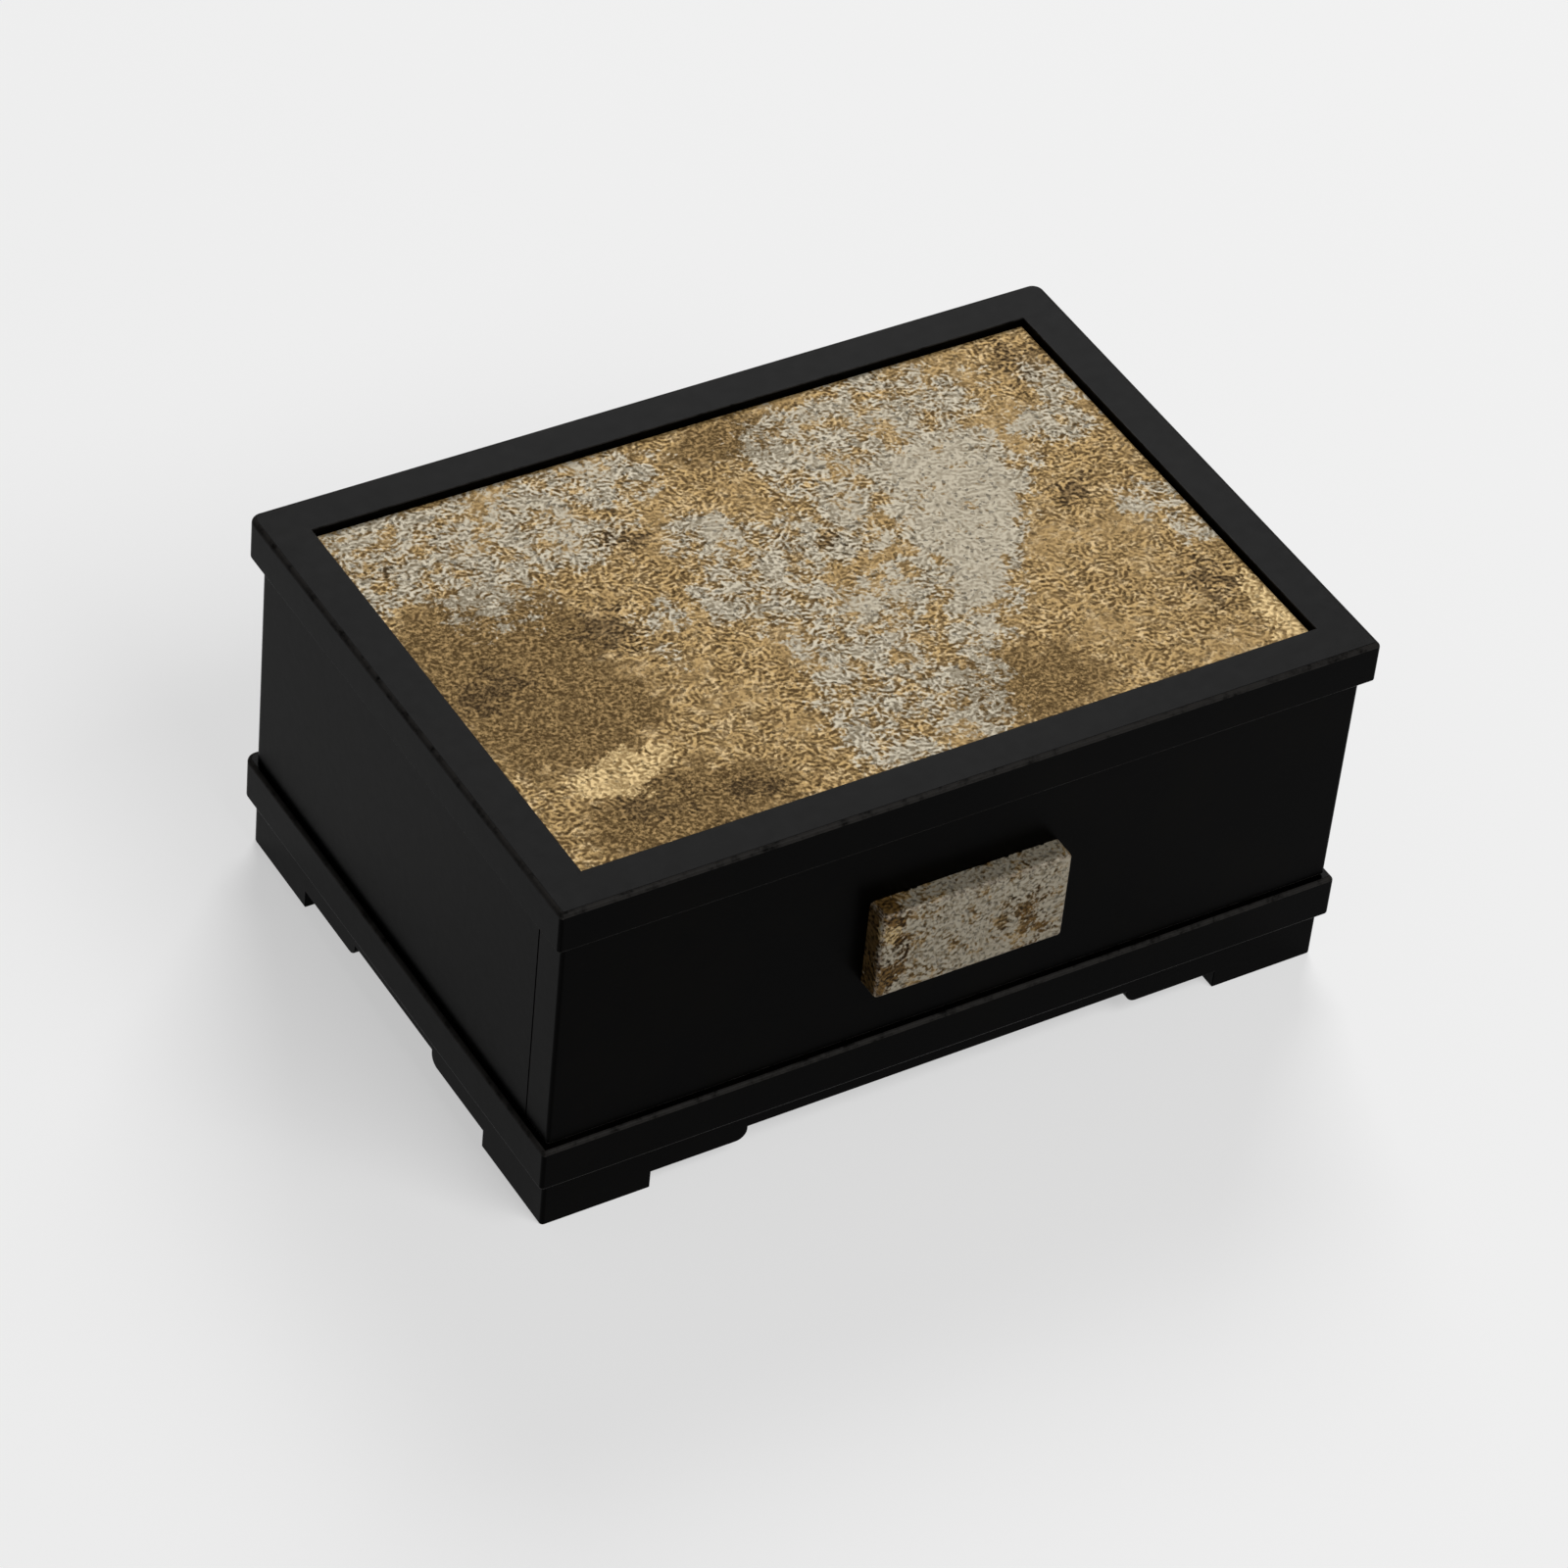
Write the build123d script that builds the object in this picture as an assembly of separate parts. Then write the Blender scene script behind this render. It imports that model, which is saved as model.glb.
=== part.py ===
from build123d import *
import os

# Small lacquered chest with one drawer, built up from boards. Sizes in millimetres.
# X runs across the front, Y from the front to the back, Z up from the resting surface.

# Outside of the box
LID_WIDTH = 175.0
LID_DEPTH = 122.0
TOTAL_HEIGHT = 80.0
LID_THICKNESS = 9.0
BASE_THICKNESS = 9.5
LID_OVERHANG = 2.0
BASE_OVERHANG = 1.5
FRONT_CORNER_RADIUS = 0.8
BACK_CORNER_RADIUS = 2.4
LID_EDGE_RADIUS = 1.0
BASE_EDGE_RADIUS = 0.9
PANEL_EDGE_RADIUS = 0.5

# Framed top with its sunk inlay
RAIL_WIDTH = 9.0
RAIL_REBATE = 3.5
INLAY_RECESS = 1.5
INLAY_THICKNESS = 1.2
INLAY_FIT = 0.1

# Carcass boards
SIDE_THICKNESS = 8.0
BACK_THICKNESS = 5.0
BACK_REBATE = 4.0
DOWEL_DIAMETER = 4.0
DOWEL_COVER = 3.0
DOWEL_SPACING = 70.0

# Bracket feet: a plinth with a stepped arch in every side
BRACKET_THICKNESS = 7.0
FOOT_LENGTH = 23.0
SHOULDER_LENGTH = 20.5
SHOULDER_HEIGHT = 4.0
SHOULDER_RISE = 3.0
SHOULDER_ROUND = 2.4
APRON_HEIGHT = 4.0
CORNER_BLOCK = 13.0
PAD_DIAMETER = 9.0
PAD_THICKNESS = 1.0

# Drawer front and pull
FRONT_THICKNESS = 8.0
SEAM = 0.3
PULL_WIDTH = 41.0
PULL_HEIGHT = 20.5
PULL_THICKNESS = 5.0
PULL_DROP = 0.75
PULL_COVER = 0.8
PULL_EDGE_RADIUS = 0.6

# Drawer box
BOX_BOARD = 6.0
BOX_SIDE_GAP = 0.5
BOX_BACK_GAP = 1.0
BOX_TOP_GAP = 1.2
GLIDE_THICKNESS = 0.8
GLIDE_GAP = 0.1
STOP_HEIGHT = 5.0
STOP_DEPTH = 5.0
STOP_SETBACK = 2.0
STOP_GAP = 1.5
FINGER_COUNT = 5
BOTTOM_THICKNESS = 3.0
BOTTOM_LIFT = 4.0
GROOVE_DEPTH = 3.0
GROOVE_FIT = 0.1
LINING_THICKNESS = 0.8
FLOOR_LINING = 1.2
LINING_DROP = 1.5

# Wood screws
SCREW_DIAMETER = 3.0
SCREW_HEAD = 6.0
SCREW_HEAD_DEPTH = 1.8
SCREW_POINT = 1.5
SCREW_TIP_COVER = 1.7
PULL_SCREW_SPACING = 20.0
FRONT_SCREW_INSET = 17.0

# Levels
ARCH_HEIGHT = SHOULDER_HEIGHT + SHOULDER_RISE
FOOT_HEIGHT = ARCH_HEIGHT + APRON_HEIGHT
BASE_TOP = FOOT_HEIGHT + BASE_THICKNESS
LID_BOTTOM = TOTAL_HEIGHT - LID_THICKNESS
INLAY_TOP = TOTAL_HEIGHT - INLAY_RECESS
BOARD_TOP = INLAY_TOP - INLAY_THICKNESS
BOX_BOTTOM = BASE_TOP + GLIDE_THICKNESS + GLIDE_GAP
BOX_SIDE_TOP = LID_BOTTOM - STOP_HEIGHT - STOP_GAP
BOX_BACK_TOP = LID_BOTTOM - BOX_TOP_GAP
FLOOR_BOTTOM = BOX_BOTTOM + BOTTOM_LIFT
FLOOR_TOP = FLOOR_BOTTOM + BOTTOM_THICKNESS
PULL_LEVEL = (BASE_TOP + LID_BOTTOM) / 2 - PULL_DROP

# Places along Y: the pull's face and the lid's back edge are equally far from the origin
TOTAL_DEPTH = LID_DEPTH + max(0.0, PULL_THICKNESS - LID_OVERHANG)
LID_BACK = TOTAL_DEPTH / 2
LID_FRONT = LID_BACK - LID_DEPTH
LID_MIDDLE = (LID_FRONT + LID_BACK) / 2
CASE_WIDTH = LID_WIDTH - 2 * LID_OVERHANG
CASE_DEPTH = LID_DEPTH - 2 * LID_OVERHANG
CASE_FRONT = LID_FRONT + LID_OVERHANG
CASE_BACK = LID_BACK - LID_OVERHANG
PANEL_BACK = CASE_FRONT + FRONT_THICKNESS
SIDE_FRONT = PANEL_BACK + SEAM
STOP_FRONT = SIDE_FRONT + STOP_SETBACK
STOP_BACK = STOP_FRONT + STOP_DEPTH
BOX_BACK = CASE_BACK - BACK_THICKNESS - BOX_BACK_GAP

# Places along X, measured from the middle
CASE_INSIDE = CASE_WIDTH / 2 - SIDE_THICKNESS
BOX_OUTSIDE = CASE_INSIDE - BOX_SIDE_GAP
BOX_INSIDE = BOX_OUTSIDE - BOX_BOARD
BOX_FRONT_INSIDE = PANEL_BACK + BOX_BOARD
BOX_BACK_INSIDE = BOX_BACK - BOX_BOARD

# Lengths that follow from the boards they join
DOWEL_LENGTH = 2 * (BASE_THICKNESS - DOWEL_COVER)
FRONT_SCREW_LENGTH = BOX_BOARD + FRONT_THICKNESS - SCREW_TIP_COVER
PULL_SCREW_LENGTH = FRONT_THICKNESS + PULL_THICKNESS - PULL_COVER - SCREW_TIP_COVER

# The drawer runs out until its back board meets the stop strip
DRAWER_TRAVEL = BOX_BACK_INSIDE - STOP_BACK - SEAM


def board(x0, x1, y0, y1, z0, z1):
    """A square-edged board between the given limits."""
    corner = (Align.MIN, Align.MIN, Align.MIN)
    return Pos(x0, y0, z0) * Box(x1 - x0, y1 - y0, z1 - z0, align=corner)


def round_corners(solid, front_radius, back_radius):
    """Rounds the upright edges, by one radius in front and another at the back."""
    uprights = solid.edges().filter_by(Axis.Z).group_by(Axis.Y)
    solid = fillet(uprights[0], front_radius)
    uprights = solid.edges().filter_by(Axis.Z).group_by(Axis.Y)
    return fillet(uprights[-1], back_radius)


def slab(width, depth, bottom, top):
    """A board as seen from above, centred under the lid, with its plan corners rounded."""
    front = LID_MIDDLE - depth / 2
    blank = board(-width / 2, width / 2, front, front + depth, bottom, top)
    return round_corners(blank, FRONT_CORNER_RADIUS, BACK_CORNER_RADIUS)


def mitre_cutter(side, width, depth, reach, bottom, top):
    """The prism that one of four mitred pieces keeps of a ring."""
    w, d = width / 2, depth / 2
    corners = {
        "front": [(-w, -d), (w, -d), (w - reach, -d + reach), (-w + reach, -d + reach)],
        "back": [(-w, d), (w, d), (w - reach, d - reach), (-w + reach, d - reach)],
        "left": [(-w, -d), (-w + reach, -d + reach), (-w + reach, d - reach), (-w, d)],
        "right": [(w, -d), (w - reach, -d + reach), (w - reach, d - reach), (w, d)],
    }
    outline = make_face(Polyline(*corners[side], close=True))
    return Pos(0, LID_MIDDLE, bottom) * extrude(outline, amount=top - bottom, dir=(0, 0, 1))


# Top

def lid_ring():
    """The frame of the lid: eased outside, rebated below for the board."""
    ring = slab(LID_WIDTH, LID_DEPTH, LID_BOTTOM, TOTAL_HEIGHT)
    ring = fillet(ring.faces().sort_by(Axis.Z)[-1].outer_wire().edges(), LID_EDGE_RADIUS)
    x = LID_WIDTH / 2 - RAIL_WIDTH
    y0, y1 = LID_FRONT + RAIL_WIDTH, LID_BACK - RAIL_WIDTH
    ring -= board(-x, x, y0, y1, LID_BOTTOM, TOTAL_HEIGHT)
    x += RAIL_REBATE
    ring -= board(-x, x, y0 - RAIL_REBATE, y1 + RAIL_REBATE, LID_BOTTOM, BOARD_TOP)
    return ring


def top_rail(ring, side):
    return ring & mitre_cutter(side, LID_WIDTH, LID_DEPTH, RAIL_WIDTH, LID_BOTTOM, TOTAL_HEIGHT)


def top_board():
    """The board in the rebate of the frame."""
    inset = RAIL_WIDTH - RAIL_REBATE
    x = LID_WIDTH / 2 - inset
    return board(-x, x, LID_FRONT + inset, LID_BACK - inset, LID_BOTTOM, BOARD_TOP)


def top_inlay():
    """The covered sheet that lies sunk inside the frame."""
    inset = RAIL_WIDTH + INLAY_FIT
    x = LID_WIDTH / 2 - inset
    return board(-x, x, LID_FRONT + inset, LID_BACK - inset, BOARD_TOP, INLAY_TOP)


# Carcass

def dowel_places():
    """Centres of the dowels that pin the sides to the base."""
    x = CASE_WIDTH / 2 - SIDE_THICKNESS / 2
    return [(i * x, LID_MIDDLE + j * DOWEL_SPACING / 2) for i in (-1, 1) for j in (-1, 1)]


def dowels():
    blank = Cylinder(DOWEL_DIAMETER / 2, DOWEL_LENGTH)
    return [Pos(x, y, BASE_TOP) * blank for x, y in dowel_places()]


def case_side(sign):
    """A side of the carcass, rebated for the back panel and drilled for its dowels."""
    outer = CASE_WIDTH / 2
    side = board(outer - SIDE_THICKNESS, outer, SIDE_FRONT, CASE_BACK, BASE_TOP, LID_BOTTOM)
    corner = side.edges().filter_by(Axis.Z).sort_by(lambda e: e.center().X + e.center().Y)[-1]
    side = fillet(corner, BACK_CORNER_RADIUS)
    seam = outer - SIDE_THICKNESS + BACK_REBATE
    side -= board(CASE_INSIDE, seam, CASE_BACK - BACK_THICKNESS, CASE_BACK, BASE_TOP, LID_BOTTOM)
    if sign < 0:
        side = mirror(side, Plane.YZ)
    for dowel in dowels():
        side -= dowel
    return side


def back_panel():
    x = CASE_INSIDE + BACK_REBATE
    return board(-x, x, CASE_BACK - BACK_THICKNESS, CASE_BACK, BASE_TOP, LID_BOTTOM)


def base_board():
    """The board that stands proud under the carcass, with eased edges."""
    proud = 2 * BASE_OVERHANG
    base = slab(CASE_WIDTH + proud, CASE_DEPTH + proud, FOOT_HEIGHT, BASE_TOP)
    base = fillet(base.faces().sort_by(Axis.Z)[-1].outer_wire().edges(), BASE_EDGE_RADIUS)
    base = fillet(base.faces().sort_by(Axis.Z)[0].outer_wire().edges(), PANEL_EDGE_RADIUS)
    for dowel in dowels():
        base -= dowel
    return base


def stop_strip():
    """The strip under the top that catches the drawer's back board."""
    z0 = LID_BOTTOM - STOP_HEIGHT
    return board(-CASE_INSIDE, CASE_INSIDE, STOP_FRONT, STOP_BACK, z0, LID_BOTTOM)


def glide_strips():
    """Felt tapes on the base, one under each side of the drawer box."""
    x0, x1 = BOX_INSIDE + PANEL_EDGE_RADIUS, BOX_OUTSIDE - PANEL_EDGE_RADIUS
    top = BASE_TOP + GLIDE_THICKNESS
    right = board(x0, x1, SIDE_FRONT + STOP_SETBACK, BOX_BACK, BASE_TOP, top)
    return [mirror(right, Plane.YZ), right]


# Bracket feet

def arch_face(length):
    """The opening under one side of the plinth: a shoulder each side of a higher middle."""
    foot = length / 2 - FOOT_LENGTH
    middle = foot - SHOULDER_LENGTH
    outline = [(-foot, 0), (-foot, SHOULDER_HEIGHT), (-middle, SHOULDER_HEIGHT)]
    outline += [(-middle, ARCH_HEIGHT), (middle, ARCH_HEIGHT)]
    outline += [(middle, SHOULDER_HEIGHT), (foot, SHOULDER_HEIGHT), (foot, 0)]
    face = make_face(Polyline(*outline, close=True))
    bends = [v for v in face.vertices() if abs(abs(v.X) - middle) < 1e-6 and v.Y < ARCH_HEIGHT - 1e-6]
    return fillet(bends, min(SHOULDER_ROUND, 0.9 * SHOULDER_RISE))


def plinth_ring():
    """The four bracket sides as one ring, with an arch cut through each."""
    ring = slab(CASE_WIDTH, CASE_DEPTH, 0, FOOT_HEIGHT)
    x = CASE_WIDTH / 2 - BRACKET_THICKNESS
    y0, y1 = CASE_FRONT + BRACKET_THICKNESS, CASE_BACK - BRACKET_THICKNESS
    ring -= board(-x, x, y0, y1, 0, FOOT_HEIGHT)
    across = extrude(Plane.XZ * arch_face(CASE_WIDTH), amount=LID_DEPTH, both=True)
    along = extrude(Plane.YZ * arch_face(CASE_DEPTH), amount=LID_WIDTH, both=True)
    return ring - across - Pos(0, LID_MIDDLE, 0) * along


def bracket(ring, side):
    return ring & mitre_cutter(side, CASE_WIDTH, CASE_DEPTH, BRACKET_THICKNESS, 0, FOOT_HEIGHT)


def block_places():
    """Centres of the glue blocks in the inner corners of the plinth."""
    x = CASE_WIDTH / 2 - BRACKET_THICKNESS - CORNER_BLOCK / 2
    y = CASE_DEPTH / 2 - BRACKET_THICKNESS - CORNER_BLOCK / 2
    return [(i * x, LID_MIDDLE + j * y) for i in (-1, 1) for j in (-1, 1)]


def corner_blocks():
    half = CORNER_BLOCK / 2
    return [
        board(x - half, x + half, y - half, y + half, PAD_THICKNESS, FOOT_HEIGHT)
        for x, y in block_places()
    ]


def foot_pads():
    """Felt discs under the glue blocks, level with the bracket feet."""
    flat = (Align.CENTER, Align.CENTER, Align.MIN)
    disc = Cylinder(PAD_DIAMETER / 2, PAD_THICKNESS, align=flat)
    return [Pos(x, y, 0) * disc for x, y in block_places()]


# Drawer

def wood_screw(length):
    """A countersunk screw that points along -Y, its head's face at the origin."""
    r, head = SCREW_DIAMETER / 2, SCREW_HEAD / 2
    outline = [(0, 0), (head, 0), (r, -SCREW_HEAD_DEPTH), (r, -length + SCREW_POINT), (0, -length)]
    return revolve(make_face(Polyline(*outline, close=True)), Axis.Y)


def front_screw_places():
    """Head centres of the screws that hold the drawer front to the box."""
    x = BOX_INSIDE - FRONT_SCREW_INSET
    z = (FLOOR_TOP + BOX_SIDE_TOP) / 2
    return [Pos(i * x, BOX_FRONT_INSIDE, z) for i in (-1, 1)]


def pull_screw_places():
    """Head centres of the screws that hold the pull, in the back of the drawer front."""
    x = PULL_SCREW_SPACING / 2
    return [Pos(i * x, PANEL_BACK, PULL_LEVEL) for i in (-1, 1)]


def front_screws():
    return [place * wood_screw(FRONT_SCREW_LENGTH) for place in front_screw_places()]


def pull_screws():
    return [place * wood_screw(PULL_SCREW_LENGTH) for place in pull_screw_places()]


def drill(solid, places, length):
    """Takes the screws' own shape out of a board that they hold."""
    for place in places:
        solid -= place * wood_screw(length)
    return solid


def drawer_front():
    """The panel that covers the whole front between base and lid."""
    x = CASE_WIDTH / 2
    panel = board(-x, x, CASE_FRONT, PANEL_BACK, BASE_TOP + SEAM, LID_BOTTOM - SEAM)
    uprights = panel.edges().filter_by(Axis.Z).group_by(Axis.Y)[0]
    panel = fillet(uprights, FRONT_CORNER_RADIUS)
    face = panel.faces().sort_by(Axis.Y)[0]
    panel = fillet(face.edges().filter_by(Axis.X), PANEL_EDGE_RADIUS)
    panel = drill(panel, pull_screw_places(), PULL_SCREW_LENGTH)
    return drill(panel, front_screw_places(), FRONT_SCREW_LENGTH)


def finger_levels(odd):
    """Lower and upper limits of every other finger."""
    height = (BOX_SIDE_TOP - BOX_BOTTOM) / FINGER_COUNT
    start = 1 if odd else 0
    return [(BOX_BOTTOM + i * height, BOX_BOTTOM + (i + 1) * height) for i in range(start, FINGER_COUNT, 2)]


def floor_panel(fit):
    """The thin bottom in its grooves, smaller than them by the fit on each edge."""
    x = BOX_INSIDE + GROOVE_DEPTH - fit
    y0, y1 = BOX_FRONT_INSIDE - GROOVE_DEPTH + fit, BOX_BACK_INSIDE + GROOVE_DEPTH - fit
    return board(-x, x, y0, y1, FLOOR_BOTTOM, FLOOR_TOP)


def box_side(sign):
    """A side of the drawer box, with the odd fingers cut away at both ends."""
    side = board(BOX_INSIDE, BOX_OUTSIDE, PANEL_BACK, BOX_BACK, BOX_BOTTOM, BOX_SIDE_TOP)
    for z0, z1 in finger_levels(odd=True):
        side -= board(BOX_INSIDE, BOX_OUTSIDE, PANEL_BACK, BOX_FRONT_INSIDE, z0, z1)
        side -= board(BOX_INSIDE, BOX_OUTSIDE, BOX_BACK_INSIDE, BOX_BACK, z0, z1)
    side -= floor_panel(0)
    return mirror(side, Plane.YZ) if sign < 0 else side


def box_end(y0, y1, top):
    """The front or back of the drawer box, with the even fingers cut away at both ends."""
    end = board(-BOX_OUTSIDE, BOX_OUTSIDE, y0, y1, BOX_BOTTOM, top)
    for z0, z1 in finger_levels(odd=False):
        end -= board(-BOX_OUTSIDE, -BOX_INSIDE, y0, y1, z0, z1)
        end -= board(BOX_INSIDE, BOX_OUTSIDE, y0, y1, z0, z1)
    return end - floor_panel(0)


def lining_floor():
    """The velvet mat on the bottom of the drawer."""
    x = BOX_INSIDE - LINING_THICKNESS
    y0, y1 = BOX_FRONT_INSIDE + LINING_THICKNESS, BOX_BACK_INSIDE - LINING_THICKNESS
    return board(-x, x, y0, y1, FLOOR_TOP, FLOOR_TOP + FLOOR_LINING)


def lining_walls():
    """Velvet strips on the four inner walls."""
    x, t = BOX_INSIDE, LINING_THICKNESS
    y0, y1 = BOX_FRONT_INSIDE, BOX_BACK_INSIDE
    z0, z1 = FLOOR_TOP, BOX_SIDE_TOP - LINING_DROP
    right = board(x - t, x, y0, y1, z0, z1)
    front = board(t - x, x - t, y0, y0 + t, z0, z1)
    back = board(t - x, x - t, y1 - t, y1, z0, z1)
    return [mirror(right, Plane.YZ), right, front, back]


def pull_blank(shrink):
    """The outside of the pull, smaller all round and in front by the given amount."""
    x, z = PULL_WIDTH / 2 - shrink, PULL_HEIGHT / 2 - shrink
    y0 = CASE_FRONT - PULL_THICKNESS + shrink
    return board(-x, x, y0, CASE_FRONT, PULL_LEVEL - z, PULL_LEVEL + z)


def pull_block():
    """The wooden core of the pull."""
    return drill(pull_blank(PULL_COVER), pull_screw_places(), PULL_SCREW_LENGTH)


def pull_cover():
    """The skin over the face and the four edges of the pull."""
    blank = pull_blank(0)
    face = blank.faces().sort_by(Axis.Y)[0]
    returns = blank.edges().filter_by(Axis.Y)
    return fillet(face.edges() + returns, PULL_EDGE_RADIUS) - pull_blank(PULL_COVER)


def pieces():
    """Every node of the assembly, as a list of solids."""
    lid = lid_ring()
    plinth = plinth_ring()
    nodes = {}
    for side in ("front", "back", "left", "right"):
        nodes["top_rail_" + side] = [top_rail(lid, side)]
        nodes["bracket_" + side] = [bracket(plinth, side)]
    nodes["top_board"] = [top_board()]
    nodes["top_inlay"] = [top_inlay()]
    nodes["side_left"] = [case_side(-1)]
    nodes["side_right"] = [case_side(1)]
    nodes["back_panel"] = [back_panel()]
    nodes["base_board"] = [base_board()]
    nodes["base_dowels"] = dowels()
    nodes["stop_strip"] = [stop_strip()]
    nodes["glide_strips"] = glide_strips()
    nodes["corner_blocks"] = corner_blocks()
    nodes["foot_pads"] = foot_pads()
    nodes["drawer_front"] = [drawer_front()]
    box_front = box_end(PANEL_BACK, BOX_FRONT_INSIDE, BOX_SIDE_TOP)
    nodes["drawer_box_front"] = [drill(box_front, front_screw_places(), FRONT_SCREW_LENGTH)]
    nodes["drawer_box_back"] = [box_end(BOX_BACK_INSIDE, BOX_BACK, BOX_BACK_TOP)]
    nodes["drawer_side_left"] = [box_side(-1)]
    nodes["drawer_side_right"] = [box_side(1)]
    nodes["drawer_bottom"] = [floor_panel(GROOVE_FIT)]
    nodes["lining_floor"] = [lining_floor()]
    nodes["lining_walls"] = lining_walls()
    nodes["pull_block"] = [pull_block()]
    nodes["pull_cover"] = [pull_cover()]
    nodes["pull_screws"] = pull_screws()
    nodes["front_screws"] = front_screws()
    return nodes


def main():
    os.makedirs("parts", exist_ok=True)
    for name, shapes in pieces().items():
        solids = [solid for shape in shapes for solid in shape.solids()]
        shape = solids[0] if len(solids) == 1 else Compound(children=solids)
        export_step(shape, f"parts/{name}.step")
        print(name, len(solids), round(sum(solid.volume for solid in solids), 1))
    print("drawer travel", round(DRAWER_TRAVEL, 2))


main()
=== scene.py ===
import math

import bmesh
import bpy
from mathutils import Matrix, Vector


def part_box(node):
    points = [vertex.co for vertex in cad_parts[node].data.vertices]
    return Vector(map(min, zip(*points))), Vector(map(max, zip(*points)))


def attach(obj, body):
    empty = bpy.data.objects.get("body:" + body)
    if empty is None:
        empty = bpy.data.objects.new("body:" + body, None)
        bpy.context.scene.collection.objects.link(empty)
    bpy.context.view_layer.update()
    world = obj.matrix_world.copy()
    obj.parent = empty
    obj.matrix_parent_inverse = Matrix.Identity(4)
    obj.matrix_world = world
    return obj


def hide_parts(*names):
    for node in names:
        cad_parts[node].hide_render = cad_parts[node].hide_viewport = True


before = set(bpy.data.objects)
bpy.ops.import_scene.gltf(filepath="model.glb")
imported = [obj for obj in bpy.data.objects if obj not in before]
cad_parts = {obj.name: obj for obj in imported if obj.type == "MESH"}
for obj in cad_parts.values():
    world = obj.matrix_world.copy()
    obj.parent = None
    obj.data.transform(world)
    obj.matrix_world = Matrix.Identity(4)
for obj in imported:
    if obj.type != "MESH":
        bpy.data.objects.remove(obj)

bl_info = {
    "name": "Lacquered chest finishes",
    "version": (1, 0, 0),
    "blender": (4, 5, 0),
    "location": "3D View > Sidebar > Chest",
    "description": "Lacquer, foil leather, velvet, wood, screws and a studio for a chest with one drawer",
    "category": "Object",
}

MM = 0.001
CASE = "case"
DRAWER = "drawer"

# Points nearer than this are one: on flat boards, and on rounded pieces
WELD = 0.002 * MM
ROUND_WELD = 0.004 * MM

# In degrees, between the faces at an edge: from the first it is eased, from the second it shows as a crease
EASED_ANGLE = 38.0
CREASE_ANGLE = 50.0

# A face whose normal's largest part is under this is turned away from all three axes
TURNED = 0.985

# A face whose normal rises or falls by less than this is upright, and isn't given the lighter edge colour,
# which is partly wear and partly a painted highlight
UPRIGHT = 0.1

# The sawn end of a mitred board is larger than this, and its eased edges are smaller
SMALLEST_MITRE = 40 * MM * MM

# Share of the usual easing that an edge at a seam has
SEAM_EASING = 0.3

# What the camera aims at, and how far the camera is moved left and down from there
AIM = (0.0, 0.0015, 0.04)
AIM_LEFT = 0.002474
AIM_DOWN = 0.008436

# Boards that wear the black lacquer, by the body that they ride on
CASE_BOARDS = (
    "top_rail_front", "top_rail_back", "top_rail_left", "top_rail_right", "top_board",
    "side_left", "side_right", "back_panel", "base_board", "stop_strip",
    "bracket_front", "bracket_back", "bracket_left", "bracket_right",
)
DRAWER_BOARDS = ("drawer_front",)

# Where the drawer front meets the sides, along Y
SEAMS = {
    "drawer_front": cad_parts["drawer_front"].bound_box[2][1],
    "side_left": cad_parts["side_left"].bound_box[0][1],
    "side_right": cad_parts["side_right"].bound_box[0][1],
}

# Boards left bare, by the way that their grain runs
LONG_BOARDS = ("drawer_box_front", "drawer_box_back", "drawer_bottom")
DEEP_BOARDS = ("drawer_side_left", "drawer_side_right")

# Colours, linear
BLACK = (0.0006, 0.0006, 0.0006)
WARM_BLACK = (0.0012, 0.0010, 0.0007)
# Lighter lacquer on the level eased edges: partly wear, partly a painted highlight along the arrises
RUBBED_AND_HIGHLIGHT = (0.024, 0.0225, 0.021)
PALE_WOOD = (0.58, 0.42, 0.25)
DARK_WOOD = (0.37, 0.235, 0.12)
VELVET = (0.20, 0.155, 0.105)
FELT = (0.022, 0.021, 0.021)
ZINC = (0.62, 0.58, 0.48)
FLOOR = (0.92, 0.92, 0.92)

# How far the floor is mixed with white where the camera or a mirror sees it
WHITENING = 0.5

# Foils, each as the colour in the gaps and on the ridges of the embossing
SILVER_FOIL = ((0.335, 0.275, 0.180), (0.620, 0.555, 0.430))
GOLD_FOIL = ((0.165, 0.095, 0.032), (0.560, 0.375, 0.155))
TAN_FOIL = ((0.240, 0.150, 0.058), (0.740, 0.545, 0.290))
BROWN_FOIL = ((0.115, 0.066, 0.020), (0.400, 0.260, 0.105))
PALE_FOIL = ((0.42, 0.27, 0.105), (0.84, 0.62, 0.31))
AMBER_FOIL = ((0.030, 0.014, 0.003), (0.26, 0.145, 0.040))
UMBER_FOIL = ((0.040, 0.022, 0.007), (0.25, 0.158, 0.064))

# The leather where its foil is rubbed off along the pull's arrises
WORN_SKIN = (0.48, 0.40, 0.31)

# Where each foil lies on the top: x, y, half width and half depth of soft ovals, in millimetres from the
# middle of the top
SILVER_PLACES = (
    (-66, 44, 15, 10), (-46, 44, 15, 9), (-56, 28, 11, 13), (-70, 32, 10, 7), (-36, 32, 12, 10),
    (-22, 44, 13, 7), (-10, 21, 8, 8), (-16, 6, 6, 10), (-6, 2, 9, 12), (-3, -14, 9, 10),
    (-7, -26, 8, 11), (-9, -40, 9, 12), (3, -28, 10, 15), (10, -42, 8, 10), (8, -10, 13, 9),
    (10, 12, 12, 10), (20, 34, 13, 15), (36, 38, 22, 13), (68, 23, 9, 7), (74, 32, 5, 8),
    (72, -4, 6, 6), (76, -16, 5, 5), (-34.5, -7, 3, 4.5), (-27, 4, 8, 3),
)
PALE_PLACES = ((-61, -31, 9, 6), (-54, -30, 7, 6), (76, -41, 5, 12))
BROWN_PLACES = (
    (-63, 6, 21, 22), (-60, -14, 20, 14), (-52, -44, 22, 11), (21, -41, 17, 11), (8, 44, 14, 7),
)
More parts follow.
